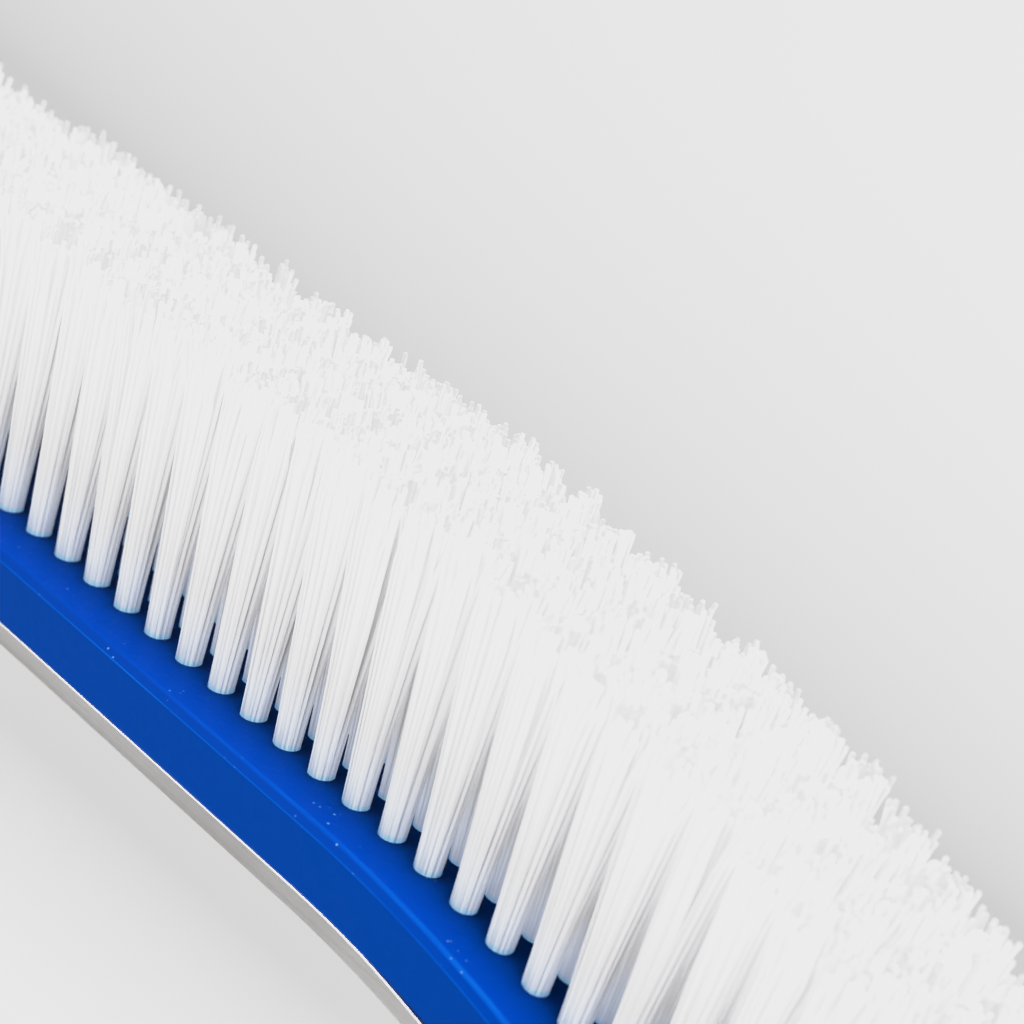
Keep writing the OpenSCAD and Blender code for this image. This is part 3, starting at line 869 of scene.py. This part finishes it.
def seen_by_camera(shader):
    """Where the camera sees a point, across the shade's slope, and how deep in the picture the point lies."""
    right, up, back = camera_axes()
    eye, _ = camera_place()
    sight = shader.vector("SUBTRACT", shader.place, eye)
    rise = shader.vector("DOT_PRODUCT", sight, up - SHADE_SLOPE * right)
    depth = shader.vector("DOT_PRODUCT", sight, -back)
    zoom = CAMERA_LENS_MM / CAMERA_SENSOR_MM
    across = shader.times(shader.math("DIVIDE", rise, depth), zoom)
    return shader.math("ADD", across, (1 - SHADE_SLOPE) / 2), depth


def pale_floor():
    """Plain pale ground with a soft shadow painted on it, where the camera sees it past the brush."""
    shader = Shader("pale_floor")
    place, depth = seen_by_camera(shader)
    # Painted shadow: darker along the brush, lighter further off in the picture
    above = shader.remap(place, SHADE_TOP, SHADE_TOP + SHADE_TOP_REACH)
    below = shader.remap(place, SHADE_FOOT, SHADE_FOOT - SHADE_FOOT_REACH)
    clear = shader.math("MAXIMUM", shader.math("POWER", above, SHADE_CURVE), below)
    dark = shader.remap(place, SHADE_FOOT, SHADE_TOP, FLOOR_DARK_BELOW, FLOOR_DARK)
    mottle = shader.remap(shader.noise(1.5, 2), 0.3, 0.7, *FLOOR_MOTTLE)
    seen = shader.times(shader.remap(depth, *SHADE_NEAR), shader.remap(depth, *SHADE_FAR))
    shade = shader.remap(seen, 0, 1, FLOOR_PLAIN, shader.remap(clear, 0, 1, dark, FLOOR_LIGHT))
    shade = shader.times(shade, mottle)
    colour = shader.add("ShaderNodeCombineColor")
    for channel in ("Red", "Green", "Blue"):
        shader.put(colour.inputs[channel], shade)
    shader.set(Base_Color=colour.outputs["Color"], Roughness=1.0, Specular_IOR_Level=0.0)
    return shader.material


# Scene


def dress(thing, material):
    """Gives an object one material."""
    thing.data.materials.clear()
    thing.data.materials.append(material)
    for polygon in thing.data.polygons:
        polygon.material_index = 0


def soften(thing, width):
    """Rounds an object's sharp edges by width."""
    bevel = thing.modifiers.new("soft_edges", "BEVEL")
    bevel.width = width
    bevel.segments = 2
    bevel.limit_method = "ANGLE"
    bevel.angle_limit = SHARP_ANGLE
    bevel.use_clamp_overlap = True
    bevel.harden_normals = False


def even_normals(thing):
    """Keeps broad faces flat beside narrow rounded ones."""
    weighted = thing.modifiers.new("even_normals", "WEIGHTED_NORMAL")
    weighted.keep_sharp = True
    weighted.weight = BROAD_FACE_WEIGHT


def camera_axes():
    """Right, up and back directions of the camera, with its roll."""
    azimuth = math.radians(CAMERA_AZIMUTH)
    elevation = math.radians(CAMERA_ELEVATION)
    back = Vector((
        math.sin(azimuth) * math.cos(elevation),
        -math.cos(azimuth) * math.cos(elevation),
        math.sin(elevation),
    ))
    level = Vector((0, 0, 1)).cross(back).normalized()
    upright = back.cross(level)
    roll = math.radians(CAMERA_ROLL)
    right = math.cos(roll) * level + math.sin(roll) * upright
    up = math.cos(roll) * upright - math.sin(roll) * level
    return right, up, back


def camera_place():
    """Where the camera stands, and the point it looks at, which lies past a tuft of the front row."""
    right, up, back = camera_axes()
    tuft = Vector(on_bar(AIM_COLUMN * COLUMN_PITCH, row_place(0), 0.0))
    aim = tuft + right * CAMERA_AIM_FROM_TUFT[0] + up * CAMERA_AIM_FROM_TUFT[1]
    return aim + back * CAMERA_DISTANCE, aim


def add_camera():
    """Camera at the photograph's angle, focused just in front of the point it looks at."""
    right, up, back = camera_axes()
    eye, aim = camera_place()
    focus = bpy.data.objects.new("focus_point", None)
    bpy.context.scene.collection.objects.link(focus)
    focus.location = aim + back * FOCUS_BEFORE
    data = bpy.data.cameras.new("camera")
    data.sensor_width = CAMERA_SENSOR_MM
    data.lens = CAMERA_LENS_MM
    data.clip_start = 0.01
    data.clip_end = 20
    data.dof.use_dof = True
    data.dof.focus_object = focus
    data.dof.aperture_fstop = F_STOP
    camera = bpy.data.objects.new("camera", data)
    bpy.context.scene.collection.objects.link(camera)
    turn = Matrix((right, up, back)).transposed()
    camera.matrix_world = Matrix.Translation(eye) @ turn.to_4x4()
    bpy.context.scene.camera = camera


def add_lamp(name, place, size, power, tint):
    """Square soft lamp, aimed at the origin."""
    data = bpy.data.lights.new(name, "AREA")
    data.size = size
    data.energy = power
    data.color = tint
    light = bpy.data.objects.new(name, data)
    bpy.context.scene.collection.objects.link(light)
    place = Vector(place)
    light.location = place
    light.rotation_mode = "QUATERNION"
    light.rotation_quaternion = (-place).to_track_quat("-Z", "Y")


def add_floor():
    """Large square of ground, just under the brush."""
    half = FLOOR_HALF
    corners = [(-half, -half, FLOOR_Z), (half, -half, FLOOR_Z), (half, half, FLOOR_Z), (-half, half, FLOOR_Z)]
    floor = mesh_object("floor", corners, [(0, 1, 2, 3)], smooth=False)
    floor.data.materials.append(pale_floor())


def add_sky():
    """Sky light that grows with height, and one even tone where the camera sees the sky itself."""
    world = bpy.data.worlds.new("sky")
    bpy.context.scene.world = world
    world.use_nodes = True
    tree = world.node_tree
    up = tree.nodes.new("ShaderNodeSeparateXYZ")
    tree.links.new(tree.nodes.new("ShaderNodeTexCoord").outputs["Generated"], up.inputs[0])
    climb = tree.nodes.new("ShaderNodeMapRange")
    tree.links.new(up.outputs["Z"], climb.inputs["Value"])
    climb.inputs["To Min"].default_value = SKY_LOW
    climb.inputs["To Max"].default_value = SKY_HIGH
    seen = tree.nodes.new("ShaderNodeMix")
    tree.links.new(tree.nodes.new("ShaderNodeLightPath").outputs["Is Camera Ray"], seen.inputs["Factor"])
    tree.links.new(climb.outputs["Result"], seen.inputs["A"])
    seen.inputs["B"].default_value = SKY_SEEN
    background = tree.nodes["Background"]
    tree.links.new(seen.outputs["Result"], background.inputs["Strength"])
    background.inputs["Color"].default_value = SKY_COLOUR


def add_studio():
    """Pale floor, soft sky and lamps."""
    add_floor()
    add_sky()
    for lamp in LAMPS:
        add_lamp(*lamp)


def set_response():
    """Colours go out as they are, but for a shoulder that holds back the whites."""
    view = bpy.context.scene.view_settings
    view.view_transform = "Standard"
    view.look = "None"
    view.use_curve_mapping = True
    mapping = view.curve_mapping
    mapping.extend = "HORIZONTAL"
    brightest = RESPONSE[-1][0]
    mapping.white_level = (brightest,) * 3
    curve = mapping.curves[3]
    curve.points[0].location = (0, 0)
    curve.points[-1].location = (1, RESPONSE[-1][1])
    for light, out in RESPONSE[1:-1]:
        curve.points.new(light / brightest, out)
    mapping.update()


def add_head():
    """Block, plate and bristles, which stand for their CAD nodes."""
    block = build_block()
    dress(block, blue_plastic())
    even_normals(block)
    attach(block, "head")
    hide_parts("brush_block")
    plate = build_plate()
    dress(plate, metal("plate_aluminium", *PLATE_METAL, (0.22, 0.42), SHEET_LINES))
    even_normals(plate)
    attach(plate, "head")
    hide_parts("back_plate")
    nylon = white_nylon()
    rng = np.random.default_rng(SEED)
    for row in range(ROWS):
        for side in (-1, 1):
            bristles = build_half_row(row, side, rng)
            dress(bristles, nylon)
            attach(bristles, "head")
            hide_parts(f"tuft_row_{row + 1}")


def add_handle():
    """Materials and softened edges for the CAD nodes that are shown as they are."""
    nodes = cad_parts
    steel = metal("steel", *STEEL, (0.2, 0.38), STEEL_GRAIN)
    casting = metal("cast_aluminium", *CASTING, (0.32, 0.52), CASTING_GRAIN, 0.5)
    tube = metal("tube_aluminium", *TUBE, (0.18, 0.36), DRAWN_LINES)
    rivet = metal("rivet_aluminium", *RIVET, (0.25, 0.42), RIVET_GRAIN)
    clip = grey_plastic()
    parts = [
        ("plate_screws", steel, "steel", 0.15),
        ("handle_saddle", casting, "cast_aluminium", 0.6),
        ("saddle_rivets", rivet, "rivet_aluminium", 0.2),
        ("spigot_tube", tube, "tube_aluminium", 0.2),
        ("spigot_rivets", rivet, "rivet_aluminium", 0.2),
        ("clip_nose", clip, "clip_plastic", 0.3),
        ("clip_arm_right", clip, "clip_plastic", 0.3),
        ("clip_arm_left", clip, "clip_plastic", 0.3),
    ]
    parts += [(f"staple_row_{row}", steel, "steel", 0) for row in range(1, ROWS + 1)]
    for node, material, slot, softness in parts:
        dress(nodes[node], material)
        if softness:
            soften(nodes[node], softness * MM)


add_head()
add_handle()
add_studio()
set_response()
add_camera()
